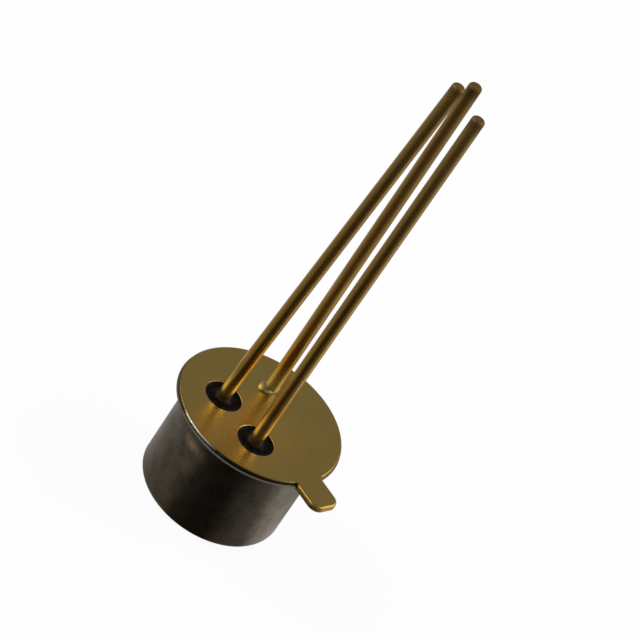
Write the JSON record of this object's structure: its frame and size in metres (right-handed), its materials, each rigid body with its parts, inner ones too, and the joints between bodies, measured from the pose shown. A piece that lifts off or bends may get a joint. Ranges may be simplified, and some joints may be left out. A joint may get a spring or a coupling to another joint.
{
  "type": "temperature sensor",
  "caption": "Temperature sensor in a round metal can with a tabbed gold header, glass-sealed wire leads and a brazed case lead.",
  "frame": {"origin": "centre of the can's flat end face, which the sensor stands on", "axes": "+Z along the package axis towards the leads, +X through the supply lead, -Y through the return lead, -X through the case lead, index tab half way between +X and +Y"},
  "size_m": [0.0057, 0.0057, 0.0172],
  "materials": {
    "gold_plate": "thin gold plate on Kovar, satin, slightly worn",
    "nickel": "bare drawn nickel, dull, with faint stains",
    "lead_gold": "gold-plated round wire, duller towards the tips",
    "seal_glass": "black sealing glass, glossy",
    "braze": "plated braze bead, smooth",
    "attach_metal": "die attach layer",
    "silicon": "silicon, polished face",
    "bond_wire": "drawn bond wire"
  },
  "bodies": {
    "root": {"header": "gold_plate", "can": "nickel", "supply_lead": "lead_gold", "return_lead": "lead_gold", "case_lead": "lead_gold", "supply_glass_seal": "seal_glass", "return_glass_seal": "seal_glass", "case_lead_braze": "braze", "die_attach": "attach_metal", "sensor_die": "silicon", "supply_bond_wire": "bond_wire", "return_bond_wire": "bond_wire"}
  },
  "joints": []
}
